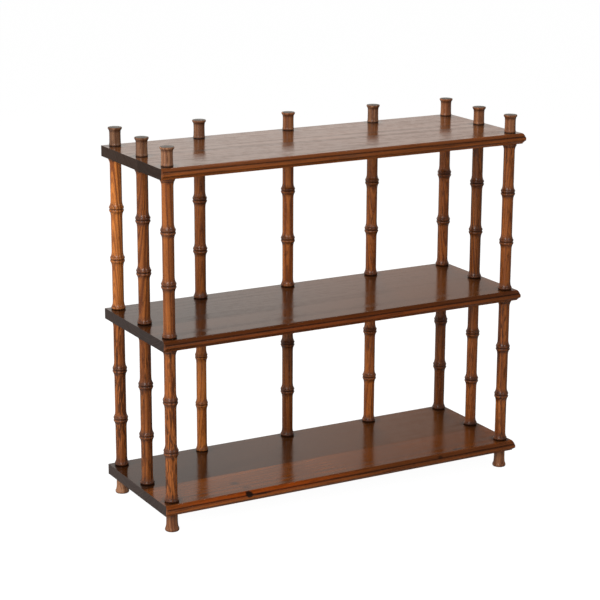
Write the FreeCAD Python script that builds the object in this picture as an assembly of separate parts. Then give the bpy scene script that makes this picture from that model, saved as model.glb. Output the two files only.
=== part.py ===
import FreeCAD, Part
import os

# A three-tier open shelf: three glued-up boards with a moulded front edge, held
# apart by turned spindles that look like bamboo, with a finial on every column
# and a foot at every corner.
# Lengths are millimetres. X runs along the boards, Y from front to back, Z up.
# The origin is on the floor, under the middle of the boards' outline.

# Boards
shelf_length = 800.0
shelf_depth = 282.0
shelf_thickness = 21.0
front_board_depth = 114.0

# Moulded front edge: how far it reaches in front of the top surface, and its
# corners as shares of that reach and of the board's thickness
edge_reach = 13.0
ovolo_end_shares = (0.75, 0.22)
fillet_end_shares = (0.75, 0.28)
nose_start_shares = (0.88, 0.28)
nose_end_shares = (0.88, 0.64)
bevel_start_shares = (0.78, 0.64)
bevel_end_shares = (0.09, 0.94)
ovolo_crown_share = 0.09
nose_crown_share = 0.12
bevel_hollow_share = 0.05

# Where the columns stand
left_overhang = 23.0
right_overhang = 17.0
back_overhang = 15.0
front_overhang = 33.0
inner_column_spacing = 200.0
middle_column_share = 0.526

# Heights
foot_height = 38.0
tier_height = 304.0
finial_height = 36.0

# Turned spindles
waist_radius = 10.95
flare_rise = 2.05
flare_length = 9.5
flare_hollow_share = 0.15
bead_step = 0.95
bead_rise = 0.62
bead_width = 5.9
base_bead_width = 6.0
head_bead_width = 7.0
node_shares = (0.327, 0.663)

# The slimmer spindle at the back of the lower tier
slim_waist_radius = 10.1
slim_flare_rise = 1.6
slim_bead_step = 0.5
slim_bead_rise = 0.5
slim_bead_width = 3.9
slim_base_bead_width = 5.0
slim_head_bead_width = 5.5

# Finials
finial_radius = 10.8
finial_base_rise = 1.1
finial_base_crown = 0.3
finial_base_height = 4.2
finial_base_flare = 4.0
finial_lip_rise = 2.85
finial_lip_length = 13.5
finial_lip_hollow_share = 0.36
finial_rim_height = 1.6
finial_rim_ease = 0.7
finial_rim_crown_share = 0.3

# Feet
foot_radius = 11.0
foot_flare_rise = 2.9
foot_flare_length = 11.0
foot_flare_hollow_share = 0.24
foot_rim_height = 4.4
foot_rim_crown = 0.3
foot_heel = 0.9

# Turned tenons and their holes
tenon_radius = 6.0
tenon_reach = 20.0
stub_length = 14.0
tenon_clearance = 0.1
end_clearance = 1.0

# Places that follow from the sizes
board_left = -shelf_length / 2
nose_y = -shelf_depth / 2
joint_y = nose_y + front_board_depth
back_edge_y = shelf_depth / 2
left_x = board_left + left_overhang
right_x = shelf_length / 2 - right_overhang
centre_x = (left_x + right_x) / 2
back_y = back_edge_y - back_overhang
front_y = nose_y + front_overhang
middle_y = back_y + (front_y - back_y) * middle_column_share
tier_pitch = tier_height + shelf_thickness
hole_radius = tenon_radius + tenon_clearance
socket_depth = tenon_reach + end_clearance

shelf_heights = {
    "bottom": foot_height,
    "middle": foot_height + tier_pitch,
    "top": foot_height + 2 * tier_pitch,
}
corner_columns = {
    "back_left": (left_x, back_y),
    "front_left": (left_x, front_y),
    "back_right": (right_x, back_y),
    "front_right": (right_x, front_y),
}
inner_columns = {
    "middle_left": (left_x, middle_y),
    "middle_right": (right_x, middle_y),
    "back_inner_left": (centre_x - inner_column_spacing, back_y),
    "back_centre": (centre_x, back_y),
    "back_inner_right": (centre_x + inner_column_spacing, back_y),
}
columns = {**corner_columns, **inner_columns}
slim_column = "back_inner_left"


def save(node, shape):
    """Write one solid to a file of its own."""
    shape.exportStep("parts/" + node + ".step")


def arc(start, end, crown):
    """An arc's end and a point on it; it bulges to the right of the way by crown."""
    across = end[0] - start[0]
    up = end[1] - start[1]
    chord = (across * across + up * up) ** 0.5
    via = (
        (start[0] + end[0]) / 2 + crown * up / chord,
        (start[1] + end[1]) / 2 - crown * across / chord,
    )
    return (end, via)


def closed_face(steps, place):
    """A flat face inside steps, each a point or an arc, set in space by place."""
    edges = []
    here = steps[0]
    for step in steps[1:] + steps[:1]:
        if isinstance(step[0], tuple):
            there, via = step
            edge = Part.Arc(place(here), place(via), place(there))
        else:
            there = step
            edge = Part.LineSegment(place(here), place(there))
        edges.append(edge.toShape())
        here = there
    return Part.Face(Part.Wire(edges))


def turned(steps):
    """Turn an outline of (radius, height) steps once round the Z axis."""
    face = closed_face(steps, lambda point: FreeCAD.Vector(point[0], 0, point[1]))
    return face.revolve(FreeCAD.Vector(0, 0, 0), FreeCAD.Vector(0, 0, 1), 360)


def moulded_edge(top):
    """The front edge as (y, z) steps, from the top surface down to the underside."""
    edge_y = nose_y + edge_reach

    def corner(shares):
        return (edge_y - edge_reach * shares[0], top - shelf_thickness * shares[1])

    surface_edge = (edge_y, top)
    underside_edge = (edge_y - edge_reach * bevel_end_shares[0], top - shelf_thickness)
    ovolo_end = corner(ovolo_end_shares)
    nose_start = corner(nose_start_shares)
    nose_end = corner(nose_end_shares)
    bevel_start = corner(bevel_start_shares)
    bevel_end = corner(bevel_end_shares)
    return [
        surface_edge,
        arc(surface_edge, ovolo_end, edge_reach * ovolo_crown_share),
        corner(fillet_end_shares),
        nose_start,
        arc(nose_start, nose_end, edge_reach * nose_crown_share),
        bevel_start,
        arc(bevel_start, bevel_end, -edge_reach * bevel_hollow_share),
        underside_edge,
    ]


def front_board(low):
    """The board that carries the moulded edge, with its underside at height low."""
    top = low + shelf_thickness
    steps = moulded_edge(top) + [(joint_y, low), (joint_y, top)]
    face = closed_face(steps, lambda point: FreeCAD.Vector(board_left, point[0], point[1]))
    return face.extrude(FreeCAD.Vector(shelf_length, 0, 0))


def back_board(low):
    """The plain board behind the glued joint."""
    corner = FreeCAD.Vector(board_left, joint_y, low)
    return Part.makeBox(shelf_length, back_edge_y - joint_y, shelf_thickness, corner)


def tenon_holes(low, blind_columns):
    """The holes for every column's tenon through a board, or into it where it has no foot."""
    holes = []
    for name, (x, y) in columns.items():
        depth = stub_length + end_clearance if name in blind_columns else shelf_thickness
        bottom = FreeCAD.Vector(x, y, low + shelf_thickness - depth)
        holes.append(Part.makeCylinder(hole_radius, depth, bottom))
    return holes


def segment(waist, flare, low, high):
    """One length of a spindle between two beads: a hollow flare, a waist and a flare."""
    hollow = (flare - waist) * flare_hollow_share
    corners = [
        (flare, low),
        (waist, low + flare_length),
        (waist, high - flare_length),
        (flare, high),
    ]
    return [
        corners[0],
        arc(corners[0], corners[1], -hollow),
        corners[2],
        arc(corners[2], corners[3], -hollow),
    ]


def bead(seat, low, high, rise):
    """A round bead that stands on the radius seat."""
    return [(seat, low), arc((seat, low), (seat, high), rise)]


def spindle_side(waist, flare_rise, bead_step, bead_rise, bead_width, base_width, head_width):
    """The outside of a spindle, from its lower shoulder to its upper one."""
    flare = waist + flare_rise
    seat = flare + bead_step
    steps = bead(seat, 0, base_width, bead_rise)
    low = base_width
    for share in node_shares:
        node = tier_height * share
        steps += segment(waist, flare, low, node - bead_width)
        steps += bead(seat, node - bead_width, node, bead_rise)
        steps += bead(seat, node, node + bead_width, bead_rise)[1:]
        low = node + bead_width
    high = tier_height - head_width
    steps += segment(waist, flare, low, high)
    steps += bead(seat, high, tier_height, bead_rise)
    return steps


def spindle(side, stands_on_foot):
    """A spindle with a tenon on top and a socket, or a stub of its own, below."""
    tenon_end = tier_height + shelf_thickness + tenon_reach
    top = [(tenon_radius, tier_height), (tenon_radius, tenon_end), (0, tenon_end)]
    if stands_on_foot:
        bottom = [(0, socket_depth), (hole_radius, socket_depth), (hole_radius, 0)]
    else:
        bottom = [(0, -stub_length), (tenon_radius, -stub_length), (tenon_radius, 0)]
    return turned(bottom + side + top)


def finial():
    """A short cap over the end of a column, with a round base, flared to a rim at the top."""
    base = finial_radius + finial_base_rise
    rim = finial_radius + finial_lip_rise
    rim_start = finial_height - finial_rim_height
    neck = (finial_radius, rim_start - finial_lip_length)
    lip = (rim, rim_start)
    crown = (rim - finial_rim_ease, finial_height)
    return turned([
        (0, socket_depth),
        (hole_radius, socket_depth),
        (hole_radius, 0),
        (base, 0),
        arc((base, 0), (base, finial_base_height), finial_base_crown),
        (finial_radius, finial_base_height + finial_base_flare),
        neck,
        arc(neck, lip, -finial_lip_rise * finial_lip_hollow_share),
        arc(lip, crown, finial_rim_ease * finial_rim_crown_share),
        (0, finial_height),
    ])


def foot():
    """A short foot, flared at the floor, with a tenon up through the bottom board."""
    tenon_end = foot_height + shelf_thickness + tenon_reach
    heel = (foot_radius + foot_flare_rise - foot_heel, 0)
    rim = (foot_radius + foot_flare_rise, foot_rim_height)
    ankle = (foot_radius, foot_rim_height + foot_flare_length)
    return turned([
        (0, 0),
        heel,
        arc(heel, rim, foot_rim_crown),
        arc(rim, ankle, -foot_flare_rise * foot_flare_hollow_share),
        (foot_radius, foot_height),
        (tenon_radius, foot_height),
        (tenon_radius, tenon_end),
        (0, tenon_end),
    ])


def placed(shape, x, y, z):
    """A copy of a turned piece, moved to its column and height."""
    copy = shape.copy()
    copy.translate(FreeCAD.Vector(x, y, z))
    return copy


os.makedirs("parts", exist_ok=True)

for tier, low in shelf_heights.items():
    holes = tenon_holes(low, inner_columns if tier == "bottom" else {})
    save(tier + "_shelf_front_board", front_board(low).cut(holes))
    save(tier + "_shelf_back_board", back_board(low).cut(holes))

side = spindle_side(
    waist_radius, flare_rise, bead_step, bead_rise,
    bead_width, base_bead_width, head_bead_width,
)
slim_side = spindle_side(
    slim_waist_radius, slim_flare_rise, slim_bead_step, slim_bead_rise,
    slim_bead_width, slim_base_bead_width, slim_head_bead_width,
)
socketed_spindle = spindle(side, True)
stubbed_spindle = spindle(side, False)
slim_spindle = spindle(slim_side, False)
lower_shoulder = shelf_heights["bottom"] + shelf_thickness
upper_shoulder = shelf_heights["middle"] + shelf_thickness
top_surface = shelf_heights["top"] + shelf_thickness

for name, (x, y) in columns.items():
    if name in corner_columns:
        lower_spindle = socketed_spindle
        save("foot_" + name, placed(foot(), x, y, 0))
    elif name == slim_column:
        lower_spindle = slim_spindle
    else:
        lower_spindle = stubbed_spindle
    save("lower_spindle_" + name, placed(lower_spindle, x, y, lower_shoulder))
    save("upper_spindle_" + name, placed(socketed_spindle, x, y, upper_shoulder))
    save("finial_" + name, placed(finial(), x, y, top_surface))
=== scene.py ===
import math

import bmesh
import bpy
from mathutils import Matrix, Vector


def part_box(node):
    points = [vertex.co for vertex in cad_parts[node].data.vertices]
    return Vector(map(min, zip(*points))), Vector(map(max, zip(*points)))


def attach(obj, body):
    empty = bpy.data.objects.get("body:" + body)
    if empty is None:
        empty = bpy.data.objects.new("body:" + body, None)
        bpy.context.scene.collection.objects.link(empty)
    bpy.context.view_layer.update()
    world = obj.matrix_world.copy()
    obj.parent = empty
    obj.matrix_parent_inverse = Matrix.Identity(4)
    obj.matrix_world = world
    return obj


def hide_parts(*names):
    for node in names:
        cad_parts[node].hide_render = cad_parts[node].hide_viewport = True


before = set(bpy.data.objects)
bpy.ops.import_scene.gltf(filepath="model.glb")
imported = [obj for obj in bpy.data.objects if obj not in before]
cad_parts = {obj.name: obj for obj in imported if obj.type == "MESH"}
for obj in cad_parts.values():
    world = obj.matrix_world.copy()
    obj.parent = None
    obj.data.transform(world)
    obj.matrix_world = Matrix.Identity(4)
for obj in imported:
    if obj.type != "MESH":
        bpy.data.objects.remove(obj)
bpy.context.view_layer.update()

bl_info = {
    "name": "Three-tier spindle shelf",
    "version": (1, 0, 0),
    "blender": (4, 5, 0),
    "location": "3D View > Sidebar > Shelf",
    "description": "Dresses the three-tier shelf: boards, turned spindles, finials, feet and stage",
    "category": "Add Mesh",
}

MM = 0.001
SAME_PLACE = 0.02 * MM
TIERS = ("bottom", "middle", "top")
KINDS = ("front", "back")
COLUMNS = (
    "back_left", "front_left", "back_right", "front_right", "middle_left", "middle_right",
    "back_inner_left", "back_centre", "back_inner_right",
)
CORNERS = COLUMNS[:4]

# The spindles of each bay stand between two tiers
BAYS = (("upper", "middle", "top"), ("lower", "bottom", "middle"))
SPINDLE_SIZES = ("waist_radius", "bead_radius", "bead_width", "base_bead_width", "head_bead_width")
SLIM_SPINDLE = "lower_spindle_back_inner_left"

# Heights of a spindle's low and high node, as shares of its length
NODE_SHARES = (0.327, 0.663)

# How far each hand-turned pair of nodes stands off its drawn height, in millimetres:
# the upper spindle's high and low node, then the lower spindle's
NODE_DRIFT = {
    "back_left": ((-0.4, 0.9), (-1.6, -2.2)),
    "middle_left": ((2.4, 2.1), (-0.2, -0.2)),
    "front_left": ((1.5, 1.3), (-1.1, 0.0)),
    "back_inner_left": ((-0.1, -0.8), (0.4, 0.5)),
    "back_centre": ((-0.6, -0.6), (0.1, -0.2)),
    "back_inner_right": ((-1.2, -1.6), (1.1, 0.5)),
    "back_right": ((-0.8, -1.0), (-0.6, -0.6)),
    "middle_right": ((1.0, 0.9), (1.9, 1.4)),
    "front_right": ((1.1, 0.9), (-1.4, -1.4)),
}

# A finial and a foot in section, from below: the radius, millimetres added to it, the end that the
# height counts from, millimetres from there, and the rounding in millimetres
FINIAL = (
    ("base", -0.3, "low", 0, 0), ("base", 0, "low", 1.2, 0.7), ("base", 0, "low", 3.3, 0.8),
    ("neck", 0.1, "low", 5.2, 0.6), ("neck", -0.1, "low", 12, 2), ("neck", -0.2, "low", 24, 2),
    ("neck", 0.2, "high", -6.4, 1.2), ("rim", -0.4, "high", -3.1, 0.7), ("rim", 0, "high", -1, 0.4),
    ("rim", -0.7, "high", 0, 0.4),
)
FOOT = (
    ("rim", -0.9, "low", 0, 0.3), ("rim", 0, "low", 1.6, 0.7), ("rim", 0, "low", 4, 0.8),
    ("ankle", 1, "low", 8.2, 2), ("ankle", 0.2, "low", 14.5, 4), ("ankle", 0, "high", 0, 0),
)

# The moulded edge in section, from the surface down: its share of the reach forwards and of the
# board's thickness, and the rounding in millimetres
MOULDING = (
    (0, 0, 0.5), (0.42, 0.062, 3.0), (0.75, 0.22, 0.3), (0.75, 0.28, 0), (0.90, 0.28, 0.3),
    (1.0, 0.36, 1.2), (1.0, 0.56, 1.2), (0.90, 0.645, 0.3), (0.78, 0.645, 0), (0.42, 0.81, 2.0),
    (0.09, 0.94, 0.3), (0.09, 1.0, 0.3),
)
MOULDING_STEPS = (0.265, 0.665)
JOINT_ROUNDING = 0.12 * MM

# How each turned piece took its stain, as (stain, paleness, streaks): upper spindle,
# lower spindle, finial
COLUMN_STAINS = {
    "back_left": (("amber", 0.78, 0.25), ("chestnut", 0.88, 0.9), ("weathered", 0.72, 0.3)),
    "middle_left": (("chestnut", 0.64, 0.4), ("chestnut", 0.66, 0.7), ("weathered", 0.87, 0.3)),
    "front_left": (("chestnut", 0.76, 0.3), ("chestnut", 0.95, 0.9), ("weathered", 1.4, 0.3)),
    "back_inner_left": (("chestnut", 0.76, 0.4), ("amber", 0.88, 0.4), ("weathered", 1.2, 0.3)),
    "back_centre": (("chestnut", 1.2, 0.4), ("chestnut", 0.62, 0.4), ("faded", 1.36, 0.3)),
    "back_inner_right": (("chestnut", 1.0, 0.5), ("chestnut", 1.42, 0.4), ("weathered", 1.28, 0.3)),
    "back_right": (("chestnut", 1.1, 0.5), ("chestnut", 0.66, 0.5), ("faded", 1.8, 0.3)),
    "middle_right": (("chestnut", 0.65, 0.6), ("chestnut", 1.15, 0.5), ("faded", 1.22, 0.3)),
    "front_right": (("chestnut", 0.96, 0.5), ("chestnut", 0.94, 0.7), ("faded", 1.28, 0.3)),
}
FOOT_STAINS = {
    "back_left": ("weathered", 1.6, 0.2), "front_left": ("faded", 1.2, 0.2),
    "back_right": ("faded", 1.5, 0.2), "front_right": ("faded", 1.6, 0.2),
}

# Marks are given as (place, half sizes, softness, stain, strength), in millimetres. A place's
# height counts from the board's top. Its y counts from the middle of the shelf in BOARDS, and
# from the front of the moulding in MOULDINGS.
# On the middle and bottom boards the painted shade gives way to the top board's stain towards the right
WARM_SIDE = ((330, 0, 0), (330, 900, 30), 1.0, "board", 0.8)

# Each board's stain, its paleness, the paleness of its sawn ends, and its marks. The dark stain of the
# lower tiers is the board stain darkened as painted shade, which the middle front board carries less
# of.
BOARDS = {
    ("bottom", "front"): ("board_warm", 1.0, 1.2, (
        ((-228, -80, 0), (8, 7, 8), 0.7, "grime", 0.75),
        ((-218, -110, 0), (8, 5, 8), 0.7, "grime", 0.6),
        ((268, -120, 0), (12, 4, 8), 0.5, "grime", 0.8),
    )),
    ("bottom", "back"): ("board_shade", 1.0, 1.4, (WARM_SIDE,)),
    ("middle", "front"): ("board_shade", 1.6, 0.82, (WARM_SIDE,)),
    ("middle", "back"): ("board_shade", 1.0, 1.0, (WARM_SIDE,)),
    ("top", "front"): ("board", 1.0, 0.62, ()),
    ("top", "back"): ("board", 1.0, 0.9, (((-249, 1, 0), (16, 7, 8), 0.6, "grime", 0.6),)),
}
# Painted contact shadow and dark reflection round the foot of each column on a board
COLUMN_SHADOW = ((20, 20, 8), 0.5, "grime", 0.85)

# Each moulding's paleness and its marks: its darker side first, which on the bottom and top mouldings
# is painted shade as the light falls off to the right, then painted shade over its upper band
MOULDINGS = {
    "bottom": (0.9, (
        ((450, 0, -10), (450, 900, 90), 1.0, "edge_dark", 0.35),
        ((0, 4, -2.5), (9000, 12, 6.2), 0.45, "edge_dark", 0.7),
        ((-190, 4, -2.5), (170, 14, 5), 0.6, "edge_orange", 0.9),
        ((-225, 3, -4), (7.5, 14, 5.5), 0.25, "grime", 0.97),
        ((-198, 3, -6.5), (20, 9, 1.5), 0.5, "grime", 0.8),
        ((216, 3, -4), (5, 9, 3), 0.5, "grime", 0.7),
    )),
    "middle": (0.68, (
        ((-450, 0, -10), (450, 900, 90), 1.0, "edge_dark", 0.5),
        ((0, 4, -2.5), (9000, 12, 6.2), 0.45, "edge_dark", 0.9),
        ((0, 0, -12), (260, 30, 8), 0.8, "edge_orange", 0.35),
    )),
    "top": (0.78, (
        ((450, 0, -10), (450, 900, 90), 1.0, "edge_dark", 0.15),
        ((0, 4, -2.5), (9000, 12, 6.2), 0.45, "edge_dark", 0.65),
        ((-10, 2, -9), (26, 6, 2), 0.6, "turned_top", 0.4),
    )),
}

# How dark the dark of a wood's rings is beside its light: in flat wood, mouldings and turned wood
FLAT_RINGS = (0.6, 0.6, 0.6)
MOULDING_RINGS = (0.62, 0.62, 0.62)
TURNED_RINGS = (0.36, 0.29, 0.27)
CLOUDINESS = 0.5
SPOT_EDGE = 1.25
PORE_DEPTH = 0.1 * MM

# A turned piece is cut a golden angle further round the trunk for each step of its number, and
# one of this length in metres or more leans in it. Spindles are numbered from 0.
GOLDEN_ANGLE = 2.4
LONG_PIECE = 0.3
FIRST_FINIAL = 30
FIRST_FOOT = 50

# Lamps, as (name, degrees round from the view, elevation, distance and size in metres, whether
# varnish mirrors it). Each has its power among the stage's settings.
LAMPS = (
    ("key_lamp", -58, 18, 2.6, 1.3, False),
    ("front_lamp", -14, 16, 2.6, 0.9, False),
    ("back_lamp", 180, 45, 3.0, 0.8, False),
    ("left_window", -20, 28, 2.6, 0.9, True),
    ("right_window", 42, 26, 2.6, 0.7, True),
    ("overhead_lamp", 0, 89, 2.5, 1.0, False),
)
LAMP_AIM = Vector((0, 0, 0.37))
SENSOR_WIDTH = 36


def colour(name, description, default):
    """A colour that a user can change."""
    return bpy.props.FloatVectorProperty(
        name=name, description=description, subtype="COLOR", size=3, min=0, max=1, default=default
    )


def length(name, description, millimetres):
    """A length that a user can change, given in millimetres."""
    return bpy.props.FloatProperty(
        name=name, description=description, unit="LENGTH", min=0, precision=4, default=millimetres * MM
    )


def angle(name, description, degrees):
    """An angle that a user can change, given in degrees."""
    return bpy.props.FloatProperty(
        name=name, description=description, subtype="ANGLE", default=math.radians(degrees)
    )


def power(name, description, watts):
    """A lamp's power that a user can change, given in watts."""
    return bpy.props.FloatProperty(
        name=name, description=description, unit="POWER", min=0, default=watts
    )


def share(name, description, default):
    """A share of full strength that a user can change."""
    return bpy.props.FloatProperty(
        name=name, description=description, subtype="FACTOR", min=0, max=1, default=default
    )


class ShelfSizes(bpy.types.PropertyGroup):
    """Sizes of the turned and moulded detail."""

    waist_radius: length("Waist radius", "Radius of a spindle midway between two nodes", 10.95)
    slim_waist_radius: length("Slim waist radius", "Waist radius of the slimmer spindle", 10.05)
    flare_rise: length("Flare rise", "How far a spindle swells from its waist to a node", 2.05)
    flare_length: length("Flare length", "Length of the swelling beside a node", 9.0)
    bead_radius: length("Bead radius", "Radius of the two beads of a node", 14.6)
    slim_bead_radius: length("Slim bead radius", "Bead radius of the slimmer spindle", 12.8)
    bead_width: length("Bead width", "Height of one bead of a node", 5.9)
    slim_bead_width: length("Slim bead width", "Height of one bead of the slimmer spindle", 4.2)
    base_bead_width: length("Base bead width", "Height of the bead at a spindle's foot", 6.0)
    head_bead_width: length("Head bead width", "Height of the bead at a spindle's head", 7.0)
    slim_base_bead_width: length("Slim base bead width", "The same on the slimmer spindle", 5.0)
    slim_head_bead_width: length("Slim head bead width", "The same on the slimmer spindle", 5.5)
    groove_depth: length("Groove depth", "Depth of the groove between two beads", 1.5)
    undercut: length("Undercut", "How far a spindle is cut in where it meets a board", 2.0)
    finial_radius: length("Finial radius", "Radius of a finial's neck", 11.1)
    finial_base_rise: length("Finial base rise", "How far a finial's round base stands out", 0.6)
    finial_rim_radius: length("Finial rim radius", "Radius of a finial's rim", 13.85)
    foot_radius: length("Foot radius", "Radius of a foot's ankle", 11.05)
    foot_rim_radius: length("Foot rim radius", "Radius of a foot's rim", 13.9)
    edge_reach: length("Edge reach", "How far the moulding stands in front of the surface", 13.0)
    stained_end: length("Stained end", "How far the dark ends reach in front of the surface", 4.0)
    arris: length("Arris", "Width of the worn edge on a board's corners", 0.45)
    turning_steps: bpy.props.IntProperty(
        name="Turning steps", description="Faces round a turned piece", default=48, min=12, max=128
    )


class ShelfStains(bpy.types.PropertyGroup):
    """Stain colours of the wood, as lit evenly; some are darkened as painted shade."""

    board: colour("Board", "Top shelf", (0.108, 0.032, 0.005))
    # The board stain darkened as painted shade, for the tiers under another board
    board_shade: colour("Dark board", "Middle shelf and back of the bottom one", (0.036, 0.010, 0.0016))
    board_warm: colour("Warm board", "Lighter front board of the bottom shelf", (0.176, 0.046, 0.006))
    edge: colour("Moulding", "Moulded front edges", (0.400, 0.110, 0.022))
    # Also painted shade over the moulded edges' upper band, and the darker side of each moulding
    edge_dark: colour("Moulding shade", "Dark upper band of the moulded edges", (0.070, 0.018, 0.004))
    edge_orange: colour("Orange moulding", "Left half of the bottom moulding", (0.250, 0.044, 0.003))
    # The end-grain colours are the ends' dark stain, darkened further as painted shade
    end_grain: colour("End grain", "Sawn ends of the top shelf", (0.042, 0.025, 0.018))
    end_grey: colour("Grey end grain", "Sawn ends of the lower shelves", (0.046, 0.034, 0.030))
    turned_top: colour("Turned top", "Flat tops of the finials", (0.046, 0.042, 0.032))
    amber: colour("Amber", "Lightest spindles", (0.66, 0.215, 0.042))
    chestnut: colour("Chestnut", "Most of the spindles", (0.43, 0.130, 0.025))
    faded: colour("Faded", "Dry stain of the finials and feet", (0.26, 0.105, 0.042))
    weathered: colour("Weathered", "Greyed stain of the left finials", (0.26, 0.125, 0.062))
    # Also painted shade just under the lower bead of each node
    pooled: colour("Pooled stain", "Where stain ran together by a bead", (0.050, 0.017, 0.009))
    streak: colour("Streak", "Dark streaks and pores in the wood", (0.030, 0.008, 0.002))
    # Also painted shade in grooves, quirks and along bead edges, painted contact shadows, and the
    # painted shadow round the columns' feet
    grime: colour("Grime", "What has settled in the grooves", (0.006, 0.003, 0.002))


class ShelfStage(bpy.types.PropertyGroup):
    """Camera, lamps and floor."""

    camera_place: bpy.props.FloatVectorProperty(
        name="Camera place", description="Where the camera stands", subtype="XYZ", unit="LENGTH",
        size=3, default=(-1.82367, -3.19678, 1.36927),
    )
    camera_azimuth: angle("Camera azimuth", "Turn of the view round the shelf", -29.184)
    camera_elevation: angle("Camera elevation", "How far the view looks down", 15.003)
    camera_roll: angle("Camera roll", "Tilt of the horizon", 0.256)
    camera_lens: bpy.props.FloatProperty(
        name="Lens", description="Focal length on a 36 mm sensor", unit="CAMERA", default=113.895
    )
    key_lamp: power("Key lamp", "Soft lamp on the left", 44)
    front_lamp: power("Front lamp", "Lamp by the camera", 25)
    back_lamp: power("Back lamp", "Lamp behind the shelf", 60)
    left_window: power("Left window", "Lamp whose reflection shows on the left of each turning", 13)
    right_window: power("Right window", "Lamp whose reflection shows on the right", 5)
    overhead_lamp: power("Overhead lamp", "Lamp above the shelf", 24)
    fill_light: share("Fill light", "Even light from all round", 0.25)
    floor_tone: share("Floor tone", "How much of the light the floor throws back at the shelf", 0.4)
    floor_shadow: share("Floor shadow", "How much of the lamps' light shows on the white floor", 0.10)
    floor_glow: share("Floor glow", "How white the floor shows by itself", 0.97)


def add_node(tree, kind, **settings):
    """A shader node with its settings."""
    node = tree.nodes.new(kind)
    for key, value in settings.items():
        setattr(node, key, value)
    return node


def feed(tree, socket, value):
    """Link or set an input."""
    if isinstance(value, bpy.types.NodeSocket):
        tree.links.new(value, socket)
    else:
        socket.default_value = value


def feed_named(tree, node, **values):
    """Link or set a node's inputs by their names, written small and with _ for a space."""
    for label, value in values.items():
        feed(tree, node.inputs[label.replace("_", " ").title()], value)
    return node


def calculate(tree, operation, *values, clamp=False):
    """The result of a Math node."""
    node = add_node(tree, "ShaderNodeMath", operation=operation, use_clamp=clamp)
    for socket, value in zip(node.inputs, values):
        feed(tree, socket, value)
    return node.outputs[0]


def combine(tree, operation, *values):
    """The result of a Vector Math node."""
    node = add_node(tree, "ShaderNodeVectorMath", operation=operation)
    for socket, value in zip(node.inputs, values):
        feed(tree, socket, value)
    return node.outputs["Value" if operation in ("LENGTH", "DOT_PRODUCT") else "Vector"]


def remap(tree, value, low, high, out_low=0.0, out_high=1.0):
    """value eased from low..high to out_low..out_high."""
    node = add_node(tree, "ShaderNodeMapRange", interpolation_type="SMOOTHSTEP")
    feed_named(
        tree, node, value=value, from_min=low, from_max=high, to_min=out_low, to_max=out_high
    )
    return node.outputs["Result"]


def mix_values(tree, factor, first, second):
    """Two values mixed by factor."""
    node = add_node(tree, "ShaderNodeMix", data_type="FLOAT")
    for place, value in ((0, factor), (2, first), (3, second)):
        feed(tree, node.inputs[place], value)
    return node.outputs[0]


def mix_colours(tree, factor, first, second):
    """Two colours mixed by factor."""
    node = add_node(tree, "ShaderNodeMix", data_type="RGBA")
    feed(tree, node.inputs[0], factor)
    for place, value in ((6, first), (7, second)):
        is_socket = isinstance(value, bpy.types.NodeSocket)
        feed(tree, node.inputs[place], value if is_socket else (*value, 1.0))
    return node.outputs[2]


def noise(tree, vector, scale, detail=2.0, roughness=0.5, output="Fac"):
    """A noise over vector."""
    node = add_node(tree, "ShaderNodeTexNoise")
    feed_named(tree, node, vector=vector, scale=scale, detail=detail, roughness=roughness)
    return node.outputs[output]


def new_group(name, inputs, outputs):
    """An empty shader node group with its sockets."""
    tree = bpy.data.node_groups.new(name, "ShaderNodeTree")
    for label, kind, default in inputs:
        socket = tree.interface.new_socket(label, in_out="INPUT", socket_type="NodeSocket" + kind)
        if default is not None:
            socket.default_value = default
    for label in outputs:
        tree.interface.new_socket(label, in_out="OUTPUT", socket_type="NodeSocketFloat")
    return tree, tree.nodes.new("NodeGroupInput").outputs, tree.nodes.new("NodeGroupOutput")


def wood_figure_group():
    """Growth rings round a pith along Z, with dark streaks and fine pores."""
    tree, given, end = new_group(
        "Wood figure",
        (
            ("Vector", "Vector", None),
            ("Ring Spacing", "Float", 0.004),
            ("Wander", "Float", 0.006),
            ("Streak Share", "Float", 0.4),
        ),
        ("Rings", "Streaks", "Pores"),
    )
    # The pith wanders slowly along the wood
    slow = combine(tree, "MULTIPLY", given["Vector"], (1.0, 1.0, 0.3))
    drift = noise(tree, slow, scale=18.0, output="Color")
    drift = combine(tree, "SUBTRACT", drift, (0.5, 0.5, 0.5))
    scaled = add_node(tree, "ShaderNodeVectorMath", operation="SCALE")
    feed_named(tree, scaled, vector=drift, scale=given["Wander"])
    bent = combine(tree, "ADD", given["Vector"], scaled.outputs["Vector"])

    # Rings: uneven bands over the distance from the pith
    across = combine(tree, "MULTIPLY", bent, (1.0, 1.0, 0.0))
    ring = calculate(tree, "DIVIDE", combine(tree, "LENGTH", across), given["Ring Spacing"])
    bands = add_node(tree, "ShaderNodeTexNoise", noise_dimensions="1D")
    feed_named(tree, bands, w=ring, scale=1.0, detail=3.0, roughness=0.6)
    rings = remap(tree, bands.outputs["Fac"], 0.36, 0.64)

    # Streaks: long patches above an edge that a greater share lowers, broken along the grain
    long_way = combine(tree, "MULTIPLY", bent, (300.0, 300.0, 45.0))
    patches = noise(tree, long_way, scale=1.0, roughness=0.55)
    lowered = calculate(tree, "MULTIPLY", given["Streak Share"], 0.2)
    edge = calculate(tree, "SUBTRACT", 0.66, lowered)
    streaks = remap(tree, patches, edge, calculate(tree, "ADD", edge, 0.07))
    broken_way = combine(tree, "MULTIPLY", bent, (90.0, 90.0, 14.0))
    broken = noise(tree, broken_way, scale=1.0, detail=1.0)
    streaks = calculate(tree, "MULTIPLY", streaks, remap(tree, broken, 0.36, 0.52, 0.25, 1.0))

    # Pores: short fine dashes
    fine_way = combine(tree, "MULTIPLY", given["Vector"], (1500.0, 1500.0, 110.0))
    pores = remap(tree, noise(tree, fine_way, scale=1.0, detail=1.0), 0.60, 0.74)
    feed_named(tree, end, rings=rings, streaks=streaks, pores=pores)
    return tree


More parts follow.
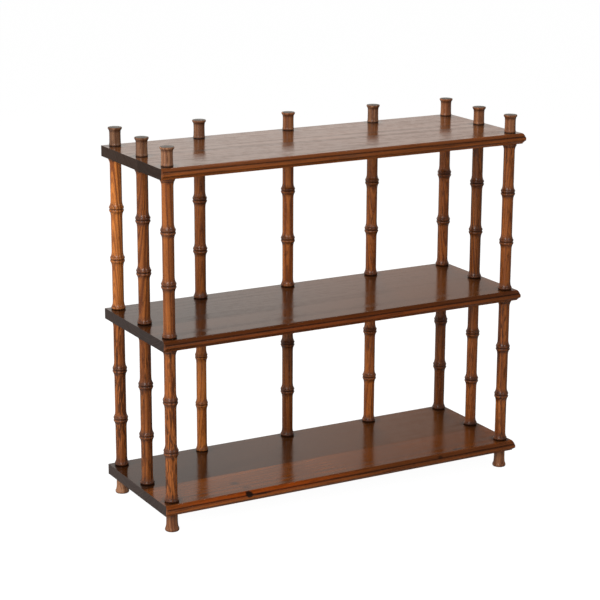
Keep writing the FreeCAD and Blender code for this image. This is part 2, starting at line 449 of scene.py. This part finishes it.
def old_finish_group():
    """Uneven varnish: broad cloudiness, fine smears, and dirt, stain run together and painted shade
    where masks say.
    """
    tree, given, end = new_group(
        "Old finish",
        (("Vector", "Vector", None), ("Settled", "Float", 0.0), ("Pooled", "Float", 0.0)),
        ("Cloud", "Smears", "Grime", "Stain"),
    )
    cloud = noise(tree, given["Vector"], scale=9.0, detail=3.0, roughness=0.55)
    smears = noise(tree, given["Vector"], scale=60.0, detail=3.0, roughness=0.6)
    broken = remap(tree, noise(tree, given["Vector"], scale=260.0), 0.25, 0.65, 0.55, 1.0)
    ragged = remap(tree, smears, 0.30, 0.65, 0.55, 1.0)
    # The Stain output also carries painted shade under the beads, and the dirt output carries painted
    # shade and contact shadows
    feed_named(
        tree, end, cloud=remap(tree, cloud, 0.32, 0.68), smears=remap(tree, smears, 0.30, 0.70),
        grime=calculate(tree, "MULTIPLY", given["Settled"], broken, clamp=True),
        stain=calculate(tree, "MULTIPLY", given["Pooled"], ragged, clamp=True),
    )
    return tree


def spot_group():
    """A soft-edged oval mark at a place on the object."""
    tree, given, end = new_group(
        "Spot",
        (
            ("Vector", "Vector", None), ("Centre", "Vector", None), ("Size", "Vector", None),
            ("Softness", "Float", 0.4),
        ),
        ("Mask",),
    )
    away = combine(tree, "SUBTRACT", given["Vector"], given["Centre"])
    away = combine(tree, "LENGTH", combine(tree, "DIVIDE", away, given["Size"]))
    wobble = calculate(tree, "MULTIPLY", noise(tree, given["Vector"], scale=240.0), 0.5)
    away = calculate(tree, "ADD", away, wobble)
    outer = calculate(tree, "ADD", SPOT_EDGE, given["Softness"])
    inner = calculate(tree, "SUBTRACT", SPOT_EDGE, given["Softness"])
    feed_named(tree, end, mask=remap(tree, away, outer, inner))
    return tree


def group_node(tree, name, **values):
    """One of the shared groups, made the first time it is asked for."""
    makers = {"Wood figure": wood_figure_group, "Old finish": old_finish_group, "Spot": spot_group}
    group = bpy.data.node_groups.get(name) or makers[name]()
    return feed_named(tree, add_node(tree, "ShaderNodeGroup", node_tree=group), **values)


def in_metres(millimetres):
    """A list of lengths turned from millimetres into metres."""
    return [value * MM for value in millimetres]


def tinted(stain, amounts):
    """A stain's red, green and blue, each made lighter or darker."""
    return [value * amount for value, amount in zip(stain, amounts)]


def stained_wood(name, light, rings, turn, place, *, spacing, wander, streak_share, gloss,
                 stretch=1.0, streak_strength=0.85, pore_strength=0.35, relief=0.25, sheen=0.5,
                 patches=()):
    """Stained and varnished wood. turn and place set the tree's pith; patches are tinted spots, some of
    them painted shade and painted shadow.
    """
    stains = bpy.context.scene.shelf_stains
    material = bpy.data.materials.new(name)
    material.use_nodes = True
    tree = material.node_tree
    dark = tinted(light, rings)
    coordinates = add_node(tree, "ShaderNodeTexCoord").outputs["Object"]
    mapping = feed_named(
        tree, add_node(tree, "ShaderNodeMapping"), vector=coordinates, location=in_metres(place),
        rotation=[math.radians(value) for value in turn],
    )
    figure = group_node(
        tree, "Wood figure", ring_spacing=spacing * MM, wander=wander * MM, streak_share=streak_share,
        vector=combine(tree, "MULTIPLY", mapping.outputs["Vector"], (1, 1, 1 / stretch)),
    )
    settled, pooled = (
        add_node(tree, "ShaderNodeAttribute", attribute_name=mask).outputs["Fac"]
        for mask in ("settled", "pooled")
    )
    finish = group_node(tree, "Old finish", vector=coordinates, settled=settled, pooled=pooled)

    tone = mix_colours(tree, figure.outputs["Rings"], light, dark)
    cloudy = calculate(tree, "MULTIPLY", finish.outputs["Cloud"], CLOUDINESS)
    tone = mix_colours(tree, cloudy, tone, dark)
    for centre, size, softness, tint, strength in patches:
        spot = group_node(
            tree, "Spot", vector=coordinates, centre=in_metres(centre), size=in_metres(size),
            softness=softness,
        )
        spotted = calculate(tree, "MULTIPLY", spot.outputs["Mask"], strength)
        tone = mix_colours(tree, spotted, tone, getattr(stains, tint))
    for mask, strength in (("Streaks", streak_strength), ("Pores", pore_strength)):
        streaked = calculate(tree, "MULTIPLY", figure.outputs[mask], strength)
        tone = mix_colours(tree, streaked, tone, stains.streak)
    # Stain run together and dirt, both also carrying painted shade and painted contact shadows
    for mask, tint in (("Stain", stains.pooled), ("Grime", stains.grime)):
        tone = mix_colours(tree, finish.outputs[mask], tone, tint)

    uneven = calculate(tree, "ADD", finish.outputs["Smears"], figure.outputs["Rings"])
    shine = remap(tree, uneven, 0.0, 2.0, *gloss)
    for mask, dullness in (("Grime", 0.7), ("Stain", 0.33)):
        matt = calculate(tree, "MULTIPLY", finish.outputs[mask], dullness)
        shine = calculate(tree, "MAXIMUM", shine, matt)
    surface = calculate(tree, "SUBTRACT", 1.0, figure.outputs["Pores"])
    bump = add_node(tree, "ShaderNodeBump")
    feed_named(tree, bump, strength=relief, distance=PORE_DEPTH, height=surface)
    shader = tree.nodes["Principled BSDF"]
    feed_named(tree, shader, base_color=tone, roughness=shine, normal=bump.outputs["Normal"])
    shader.inputs["Specular IOR Level"].default_value = sheen
    return material


def turned_wood(stain, paleness, streaks, piece, number):
    """The wood of one turned piece: its own stain, and its own place in the tree by its number."""
    stains = bpy.context.scene.shelf_stains
    low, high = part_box(piece)
    centre = (low + high) / 2
    heading = GOLDEN_ANGLE * number
    pith = Vector((math.cos(heading), math.sin(heading), 0)) * (14 + 5 * (number % 4))
    lean = min(1.0, (high.z - low.z) / LONG_PIECE)
    tilt = (lean * (2.5 * (number % 3) - 2.0), lean * (3.0 - 1.6 * (number % 5)), 0)
    place = (-centre.x / MM + pith.x, -centre.y / MM + pith.y, -centre.z / MM)
    return stained_wood(
        piece + "_wood", tinted(getattr(stains, stain), [paleness] * 3), TURNED_RINGS, tilt, place,
        spacing=5.0 - 1.8 * lean, wander=2.0 + 2.5 * lean, streak_share=streaks,
        streak_strength=0.3 + 0.55 * streaks, gloss=(0.20, 0.30),
    )


def mark(bm, name, places):
    """Write a mask on the vertices that fades from each (height, amount, millimetres) place."""
    layer = bm.verts.layers.float.new(name)
    for vertex in bm.verts:
        for height, amount, reach in places:
            here = amount * (1.0 - abs(vertex.co.z - height) / (reach * MM))
            vertex[layer] = max(vertex[layer], here)


def round_edges(bm, edges, width, segments=3):
    """Round or chamfer some edges."""
    bmesh.ops.bevel(
        bm, geom=edges, offset=width, affect="EDGES", segments=segments, profile=0.5, material=-1,
        clamp_overlap=True,
    )


def soften(bm):
    """Shade smoothly except over sharp edges and on wide flat faces."""
    wide_face, many_corners, sharp = (75 * MM) ** 2, 12, math.radians(35)
    for face in bm.faces:
        face.smooth = len(face.verts) < many_corners and face.calc_area() < wide_face
    for edge in bm.edges:
        edge.smooth = len(edge.link_faces) == 2 and edge.calc_face_angle(0) < sharp


def finished_object(name, bm, replaced, materials):
    """A closed mesh, shaded and made into a piece that stands for its CAD node."""
    soften(bm)
    mesh = bpy.data.meshes.new(name)
    bm.to_mesh(mesh)
    bm.free()
    for material in materials:
        mesh.materials.append(material)
    piece = bpy.data.objects.new(name, mesh)
    bpy.context.scene.collection.objects.link(piece)
    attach(piece, "root")
    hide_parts(replaced)
    return piece


def column_centre(column):
    """Where a column stands, from its finial."""
    low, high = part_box("finial_" + column)
    return (low.x + high.x) / 2, (low.y + high.y) / 2


def turn_on_lathe(outline, column):
    """Spin an outline of (radius, height, rounding) corners round a column, then round its rings."""
    bm = bmesh.new()
    x, y = column_centre(column)
    corners = [bm.verts.new((x + radius, y, height)) for radius, height, rounding in outline]
    edges = [bm.edges.new(pair) for pair in zip(corners, corners[1:])]
    bmesh.ops.spin(
        bm, geom=corners + edges, cent=(x, y, 0), axis=(0, 0, 1), angle=math.tau,
        steps=bpy.context.scene.shelf_sizes.turning_steps, use_merge=True,
    )
    bmesh.ops.remove_doubles(bm, verts=bm.verts, dist=0.01 * MM)
    bmesh.ops.recalc_face_normals(bm, faces=bm.faces)
    for radius, height, rounding in outline:
        if rounding:
            ring = [edge for edge in bm.edges if on_ring(edge, x, y, radius, height)]
            round_edges(bm, ring, rounding)
    return bm


def on_ring(edge, x, y, radius, height):
    """Whether an edge lies on the ring that an outline's corner has swept."""
    return all(
        abs(vertex.co.z - height) < SAME_PLACE
        and abs(math.hypot(vertex.co.x - x, vertex.co.y - y) - radius) < SAME_PLACE
        for vertex in edge.verts
    )


def section_outline(section, low, high, **radii):
    """An outline of (radius, height, rounding) corners from a section table, closed on the axis."""
    ends = {"low": low, "high": high}
    corners = [
        (radii[radius] + added * MM, ends[end] + along * MM, rounding * MM)
        for radius, added, end, along, rounding in section
    ]
    return [(0.0, low, 0.0), *corners, (0.0, high, 0.0)]


def node_outline(height, waist, bead, width):
    """A node: a flare, two beads with a groove between them, and a flare, from below."""
    sizes = bpy.context.scene.shelf_sizes
    rise, spread = sizes.flare_rise, sizes.flare_length
    half = (
        (bead - sizes.groove_depth, 0.0, 0.0),
        (bead, width * 0.28, width * 0.22),
        (bead, width * 0.70, width * 0.22),
        (waist + rise + 0.25 * MM, width, 0.2 * MM),
        (waist + rise * 0.43, width + spread * 0.42, 1.8 * MM),
        (waist + rise * 0.14, width + spread, 2.5 * MM),
    )
    below = [(radius, height - away, rounding) for radius, away, rounding in reversed(half)]
    above = [(radius, height + away, rounding) for radius, away, rounding in half[1:]]
    return below + above


def end_outline(shoulder, way, waist, bead, width):
    """The bead and flare at a spindle's shoulder, from the board outwards along way."""
    sizes = bpy.context.scene.shelf_sizes
    rise, spread = sizes.flare_rise, sizes.flare_length
    steps = (
        (bead - sizes.undercut, 0.0, 0.0),
        (bead - 0.2 * MM, width * 0.26, width * 0.2),
        (bead - 0.2 * MM, width * 0.72, width * 0.2),
        (waist + rise, width, 0.2 * MM),
        (waist + rise * 0.40, width + spread * 0.38, 1.5 * MM),
        (waist + rise * 0.10, width + spread * 0.9, 2.5 * MM),
    )
    return [(radius, shoulder + way * away, rounding) for radius, away, rounding in steps]


def spindle_outline(low, high, heights, waist, bead, width, base, head):
    """A spindle's outline from shoulder to shoulder, with a node at each of the heights."""
    outline = [(0.0, low, 0.0), *end_outline(low, 1, waist, bead, base)]
    for height in heights:
        outline += node_outline(height, waist, bead, width)
    return [*outline, *reversed(end_outline(high, -1, waist, bead, head)), (0.0, high, 0.0)]


class SHELF_OT_spindles(bpy.types.Operator):
    """Turn the eighteen spindles that hold the shelves apart"""

    bl_idname = "shelf.spindles"
    bl_label = "Turn the spindles"

    def execute(self, context):
        sizes = context.scene.shelf_sizes
        for bay, (tier, lower, upper) in enumerate(BAYS):
            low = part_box(lower + "_shelf_back_board")[1].z
            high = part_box(upper + "_shelf_back_board")[0].z
            for number, column in enumerate(COLUMNS, bay * len(COLUMNS)):
                node = f"{tier}_spindle_{column}"
                kind = "slim_" if node == SLIM_SPINDLE else ""
                turning = [getattr(sizes, kind + name) for name in SPINDLE_SIZES]
                width, base, head = turning[2:]
                drift = reversed(NODE_DRIFT[column][bay])
                heights = [
                    low + (high - low) * share_up + away * MM
                    for share_up, away in zip(NODE_SHARES, drift)
                ]
                bm = turn_on_lathe(spindle_outline(low, high, heights, *turning), column)
                stain = COLUMN_STAINS[column][bay]
                much = 0.5 if stain[0] == "amber" else 1.0
                # Dirt in the grooves, with painted contact shadow where the spindle meets each board
                # and painted shade along the bead edges
                settled = [(low, 1.2), (low + base, 0.4), (high, 1.0), (high - head, 0.9)]
                # Stain run together on the beads and at both ends; the mark just under each node's
                # lower bead is painted shade
                pooled = [(high, 1.15, 12), (low, (1.0, 1.25)[bay], 18)]
                for height in heights:
                    settled += [(height, 1.0), (height - width, 0.4), (height + width, 0.3)]
                    pooled += [(height - 6.5 * MM, 0.9, 7), (height + 3.5 * MM, 0.9, 12)]
                mark(bm, "settled", [(*groove, 1.9) for groove in settled])
                mark(bm, "pooled", [(where, much * amount, reach) for where, amount, reach in pooled])
                wood = turned_wood(*stain, node, number)
                finished_object("turned_" + node, bm, node, [wood])
        return {"FINISHED"}


class SHELF_OT_finials(bpy.types.Operator):
    """Turn the finials on top of the columns"""

    bl_idname = "shelf.finials"
    bl_label = "Turn the finials"

    def execute(self, context):
        sizes = context.scene.shelf_sizes
        neck, rim = sizes.finial_radius, sizes.finial_rim_radius
        top = stained_wood(
            "turned_top_wood", context.scene.shelf_stains.turned_top, FLAT_RINGS, (0, 0, 0), (0, 0, 0),
            spacing=1.5, wander=6.0, streak_share=0.2, gloss=(0.3, 0.45),
        )
        for number, column in enumerate(COLUMNS, FIRST_FINIAL):
            node = "finial_" + column
            low, high = (corner.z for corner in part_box(node))
            outline = section_outline(
                FINIAL, low, high, base=neck + sizes.finial_base_rise, neck=neck, rim=rim
            )
            bm = turn_on_lathe(outline, column)
            flare = high - 6.2 * MM
            # Dirt with painted contact shadow at the foot and painted shade under the rim; stain run
            # together at both
            mark(bm, "settled", [(low, 1.2, 2.2), (flare, 0.45, 2.5)])
            mark(bm, "pooled", [(low, 0.8, 4), (flare, 0.6, 5)])
            for face in bm.faces:
                face.material_index = int(face.normal.z > 0.9)
            wood = turned_wood(*COLUMN_STAINS[column][2], node, number)
            finished_object("turned_" + node, bm, node, [wood, top])
        return {"FINISHED"}


class SHELF_OT_feet(bpy.types.Operator):
    """Turn the four feet"""

    bl_idname = "shelf.feet"
    bl_label = "Turn the feet"

    def execute(self, context):
        sizes = context.scene.shelf_sizes
        for number, column in enumerate(CORNERS, FIRST_FOOT):
            node = "foot_" + column
            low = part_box(node)[0].z
            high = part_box("bottom_shelf_back_board")[0].z
            outline = section_outline(
                FOOT, low, high, ankle=sizes.foot_radius, rim=sizes.foot_rim_radius
            )
            bm = turn_on_lathe(outline, column)
            # Dirt with painted contact shadow at the floor and under the board; stain run together at
            # the foot
            mark(bm, "settled", [(low, 0.6, 1.5), (high, 0.3, 1.5)])
            mark(bm, "pooled", [(low, 0.5, 5)])
            wood = turned_wood(*FOOT_STAINS[column], node, number)
            finished_object("turned_" + node, bm, node, [wood])
        return {"FINISHED"}


def board_prism(outline, left, right):
    """Extrude an outline of (y, z, rounding) corners along the boards and round its long edges."""
    bm = bmesh.new()
    corners = [bm.verts.new((left, y, z)) for y, z, rounding in outline]
    end = bm.faces.new(corners)
    grown = bmesh.ops.extrude_face_region(bm, geom=[end])
    far = [item for item in grown["geom"] if isinstance(item, bmesh.types.BMVert)]
    bmesh.ops.translate(bm, verts=far, vec=(right - left, 0, 0))
    bmesh.ops.recalc_face_normals(bm, faces=bm.faces)
    for y, z, rounding in outline:
        if rounding:
            round_edges(bm, [edge for edge in bm.edges if all_at(edge, y=y, z=z)], rounding)
    return bm


def all_at(edge, **places):
    """Whether both ends of an edge are at the given coordinates."""
    return all(
        abs(getattr(vertex.co, axis) - place) < SAME_PLACE
        for vertex in edge.verts for axis, place in places.items()
    )


def ease_ends(bm, left, right, width):
    """Take the sharpness off the sawn ends of a board."""
    rims = [edge for edge in bm.edges if all_at(edge, x=left) or all_at(edge, x=right)]
    round_edges(bm, rims, width, segments=1)


def front_outline(low, high):
    """The moulded front board in section, as (y, z, rounding) corners."""
    reach = bpy.context.scene.shelf_sizes.edge_reach
    surface_y, thick = low.y + reach, high.z - low.z
    edge = [
        (surface_y - reach * forward, high.z - thick * drop, rounding * MM)
        for forward, drop, rounding in MOULDING
    ]
    return [(high.y, high.z, JOINT_ROUNDING), *edge, (high.y, low.z, JOINT_ROUNDING)]


def back_outline(low, high):
    """The plain back board in section, as (y, z, rounding) corners."""
    arris = bpy.context.scene.shelf_sizes.arris
    return [
        (low.y, low.z, JOINT_ROUNDING), (low.y, high.z, JOINT_ROUNDING),
        (high.y, high.z, arris), (high.y, low.z, arris),
    ]


def placed_marks(marks, front, top):
    """Marks from a table, moved to the front and the top that their places count from."""
    return [((x, front + y, top + z), *looks) for (x, y, z), *looks in marks]


def board_materials(tier, kind, low, high):
    """Surface, end-grain and moulding woods of one board."""
    stains = bpy.context.scene.shelf_stains
    number = TIERS.index(tier) * 2 + KINDS.index(kind)
    top, front = high.z / MM, low.y / MM
    pith = (top + 70 + 20 * (number % 3), -60 * (number % 2) + 25 * number, 300 * number)
    tilt = (0.4 * (number % 3) - 0.4, -88.8 - 0.5 * (number % 4), 0)
    stain, paleness, end_paleness, marks = BOARDS[tier, kind]
    patches = placed_marks(marks, 0, top)
    # Painted shadow round the foot of each column that stands on this board
    for x, y in map(column_centre, COLUMNS):
        if low.y < y < high.y:
            patches += [((x / MM, y / MM, top), *COLUMN_SHADOW)]
    surface = stained_wood(
        f"{tier}_{kind}_board_wood", tinted(getattr(stains, stain), [paleness] * 3), FLAT_RINGS,
        tilt, pith, stretch=4.0, spacing=9.0, wander=26.0, streak_share=0.25, streak_strength=0.35,
        pore_strength=0.2, gloss=(0.11, 0.24), relief=0, patches=patches,
    )
    sawn = stains.end_grain if tier == "top" else stains.end_grey
    ends = stained_wood(
        f"{tier}_{kind}_board_end", tinted(sawn, [end_paleness] * 3), FLAT_RINGS, tilt, pith,
        spacing=2.5, wander=6.0, streak_share=0.2, pore_strength=0.5, gloss=(0.5, 0.65), sheen=0.2,
    )
    if kind == "back":
        return [surface, ends]
    paleness, marks = MOULDINGS[tier]
    edge = stained_wood(
        tier + "_moulding_wood", tinted(stains.edge, [paleness] * 3), MOULDING_RINGS, tilt, pith,
        stretch=3.0, spacing=4.5, wander=6.0, streak_share=0.45, streak_strength=0.45,
        gloss=(0.28, 0.40), relief=0.1, sheen=0.22, patches=placed_marks(marks, front, top),
    )
    return [surface, ends, edge]


def paint_front(bm, low, high):
    """Give a front board its moulding's wood up to the surface, less far on the sawn ends."""
    sizes = bpy.context.scene.shelf_sizes
    surface_y = low.y + sizes.edge_reach
    strip_y = surface_y - sizes.stained_end
    bmesh.ops.bisect_plane(
        bm, geom=bm.verts[:] + bm.edges[:] + bm.faces[:], dist=0.001 * MM,
        plane_co=(0, strip_y, 0), plane_no=(0, 1, 0),
    )
    for face in bm.faces:
        if face.calc_center_median().y < (strip_y if is_sawn(face) else surface_y):
            face.material_index = 2
        elif is_sawn(face):
            face.material_index = 1
    thick = high.z - low.z
    # Dirt and painted shade along the moulding's two quirks
    mark(bm, "settled", [(high.z - thick * step, 1.0, 1.6) for step in MOULDING_STEPS])


def is_sawn(face):
    """Whether a board's face is on one of its ends."""
    return abs(face.normal.x) > 0.5


class SHELF_OT_boards(bpy.types.Operator):
    """Shape the front and back boards of the three shelves"""

    bl_idname = "shelf.boards"
    bl_label = "Shape the boards"

    def execute(self, context):
        for tier, kind in BOARDS:
            node = f"{tier}_shelf_{kind}_board"
            low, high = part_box(node)
            outline = (front_outline if kind == "front" else back_outline)(low, high)
            bm = board_prism(outline, low.x, high.x)
            ease_ends(bm, low.x, high.x, context.scene.shelf_sizes.arris)
            if kind == "front":
                paint_front(bm, low, high)
            else:
                for face in bm.faces:
                    face.material_index = int(is_sawn(face))
            woods = board_materials(tier, kind, low, high)
            finished_object("dressed_" + node, bm, node, woods)
        return {"FINISHED"}


def outward(azimuth, elevation):
    """The direction from the shelf at an azimuth and an elevation."""
    return Vector((
        math.sin(azimuth) * math.cos(elevation), -math.cos(azimuth) * math.cos(elevation),
        math.sin(elevation),
    ))


def soft_lamp(name, azimuth, elevation, distance, size, is_mirrored, watts):
    """A soft square lamp that looks at the middle of the shelf."""
    data = bpy.data.lights.new(name, "AREA")
    data.size = size
    data.energy = watts
    lamp = bpy.data.objects.new(name, data)
    bpy.context.scene.collection.objects.link(lamp)
    away = outward(math.radians(azimuth), math.radians(elevation))
    lamp.location = LAMP_AIM + away * distance
    lamp.rotation_euler = away.to_track_quat("Z", "Y").to_euler()
    lamp.visible_camera = False
    lamp.visible_glossy = is_mirrored


def seen_directly(tree):
    """1 for rays that should see the white background: camera, glossy and transmission rays."""
    path = add_node(tree, "ShaderNodeLightPath").outputs
    seen = calculate(tree, "MAXIMUM", path["Is Camera Ray"], path["Is Glossy Ray"])
    return calculate(tree, "MAXIMUM", seen, path["Is Transmission Ray"]), path


def make_floor(scene, stage):
    """A floor that shows white with the shelf's shadow, and lights the shelf like a plain one."""
    bm = bmesh.new()
    bmesh.ops.create_grid(bm, x_segments=1, y_segments=1, size=30)
    mesh = bpy.data.meshes.new("floor")
    bm.to_mesh(mesh)
    bm.free()
    floor = bpy.data.objects.new("floor", mesh)
    scene.collection.objects.link(floor)
    floor.visible_glossy = False
    pale = bpy.data.materials.new("pale_floor")
    pale.use_nodes = True
    mesh.materials.append(pale)
    tree = pale.node_tree
    tree.nodes.remove(tree.nodes["Principled BSDF"])
    matte, faint = (
        feed_named(tree, add_node(tree, "ShaderNodeBsdfDiffuse"), color=(tone, tone, tone, 1))
        for tone in (stage.floor_tone, stage.floor_shadow)
    )
    glow = feed_named(tree, add_node(tree, "ShaderNodeEmission"), strength=stage.floor_glow)
    lit = add_node(tree, "ShaderNodeAddShader")
    choice = add_node(tree, "ShaderNodeMixShader")
    seen, path = seen_directly(tree)
    for shader, socket in (
        (faint.outputs[0], lit.inputs[0]), (glow.outputs[0], lit.inputs[1]),
        (seen, choice.inputs[0]), (matte.outputs[0], choice.inputs[1]),
        (lit.outputs[0], choice.inputs[2]),
        (choice.outputs[0], tree.nodes["Material Output"].inputs["Surface"]),
    ):
        tree.links.new(shader, socket)


def make_world(scene, stage):
    """White for the camera, an even fill for the shelf, and a room for the varnish to mirror."""
    scene.world = bpy.data.worlds.new("studio")
    scene.world.use_nodes = True
    tree = scene.world.node_tree
    direction = add_node(tree, "ShaderNodeTexCoord").outputs["Generated"]
    a = stage.camera_azimuth
    behind = combine(tree, "DOT_PRODUCT", direction, (-math.sin(a), math.cos(a), 0.0))
    leftward = combine(tree, "DOT_PRODUCT", direction, (-math.cos(a), -math.sin(a), 0.0))
    height = combine(tree, "DOT_PRODUCT", direction, (0.0, 0.0, 1.0))
    seen, path = seen_directly(tree)

    # In front, a dim room that is darker low down and on the right
    room = remap(tree, height, -0.30, -0.12, 0.33, 0.50)
    room = calculate(tree, "MULTIPLY", room, remap(tree, leftward, -0.4, 0.5, 0.4, 1.0))

    # Behind, a white sweep that dims upwards, at the floor and, by its fall, on the right
    fall = remap(tree, leftward, 0.06, -0.14)
    fall = calculate(tree, "MULTIPLY", fall, remap(tree, height, 0.12, 0.36, 0.08, 0.95))
    sweep = remap(tree, height, 0.12, 0.42, 0.97, 0.54)
    sweep = calculate(tree, "MULTIPLY", sweep, calculate(tree, "SUBTRACT", 1.05, fall))
    sweep = calculate(tree, "MULTIPLY", sweep, remap(tree, height, -0.08, 0.08, 0.15, 1.0))
    backdrop = mix_values(tree, remap(tree, behind, 0.35, 0.75), room, sweep)
    backdrop = calculate(tree, "MAXIMUM", backdrop, path["Is Camera Ray"])
    warmth = mix_colours(tree, fall, (1.07, 1.0, 0.94), (1.36, 1.0, 0.85))
    feed_named(
        tree, tree.nodes["Background"],
        strength=mix_values(tree, seen, stage.fill_light, backdrop),
        color=mix_colours(tree, path["Is Glossy Ray"], (1.0, 1.0, 1.0), warmth),
    )


def make_camera(scene, stage):
    """The camera that sees the shelf as the photograph does."""
    data = bpy.data.cameras.new("camera")
    camera = bpy.data.objects.new("camera", data)
    scene.collection.objects.link(camera)
    a, roll = stage.camera_azimuth, stage.camera_roll
    right = Vector((math.cos(a), math.sin(a), 0))
    back = outward(a, stage.camera_elevation)
    up = back.cross(right)
    side = math.cos(roll) * right + math.sin(roll) * up
    top = math.cos(roll) * up - math.sin(roll) * right
    turned = Matrix((side, top, back)).transposed().to_4x4()
    camera.matrix_world = Matrix.Translation(stage.camera_place) @ turned
    data.sensor_width = SENSOR_WIDTH
    data.lens = stage.camera_lens
    data.clip_end = 100
    scene.camera = camera


class SHELF_OT_stage(bpy.types.Operator):
    """Set up the pale floor, the soft studio light and the camera"""

    bl_idname = "shelf.stage"
    bl_label = "Set the stage"

    def execute(self, context):
        scene = context.scene
        stage = scene.shelf_stage
        scene.view_settings.view_transform = "Standard"
        make_floor(scene, stage)
        make_world(scene, stage)
        facing = math.degrees(stage.camera_azimuth)
        for name, turn, *placing in LAMPS:
            soft_lamp(name, facing + turn, *placing, getattr(stage, name))
        make_camera(scene, stage)
        return {"FINISHED"}


class SHELF_PT_panel(bpy.types.Panel):
    """Sizes, stains and steps of the shelf"""

    bl_idname = "SHELF_PT_panel"
    bl_label = "Three-tier shelf"
    bl_space_type = "VIEW_3D"
    bl_region_type = "UI"
    bl_category = "Shelf"

    def draw(self, context):
        column = self.layout.column()
        for operator in OPERATORS:
            column.operator(operator.bl_idname)
        for setting, group in SETTINGS.items():
            for name in group.__annotations__:
                column.prop(getattr(context.scene, setting), name)


OPERATORS = (SHELF_OT_boards, SHELF_OT_spindles, SHELF_OT_finials, SHELF_OT_feet, SHELF_OT_stage)
SETTINGS = {"shelf_sizes": ShelfSizes, "shelf_stains": ShelfStains, "shelf_stage": ShelfStage}
CLASSES = (*SETTINGS.values(), *OPERATORS, SHELF_PT_panel)


def register():
    for item in CLASSES:
        bpy.utils.register_class(item)
    for setting, group in SETTINGS.items():
        setattr(bpy.types.Scene, setting, bpy.props.PointerProperty(type=group))


def unregister():
    for setting in SETTINGS:
        delattr(bpy.types.Scene, setting)
    for item in reversed(CLASSES):
        bpy.utils.unregister_class(item)


def main():
    register()
    bpy.ops.shelf.boards()
    bpy.ops.shelf.spindles()
    bpy.ops.shelf.finials()
    bpy.ops.shelf.feet()
    bpy.ops.shelf.stage()


if __name__ == "__main__":
    main()
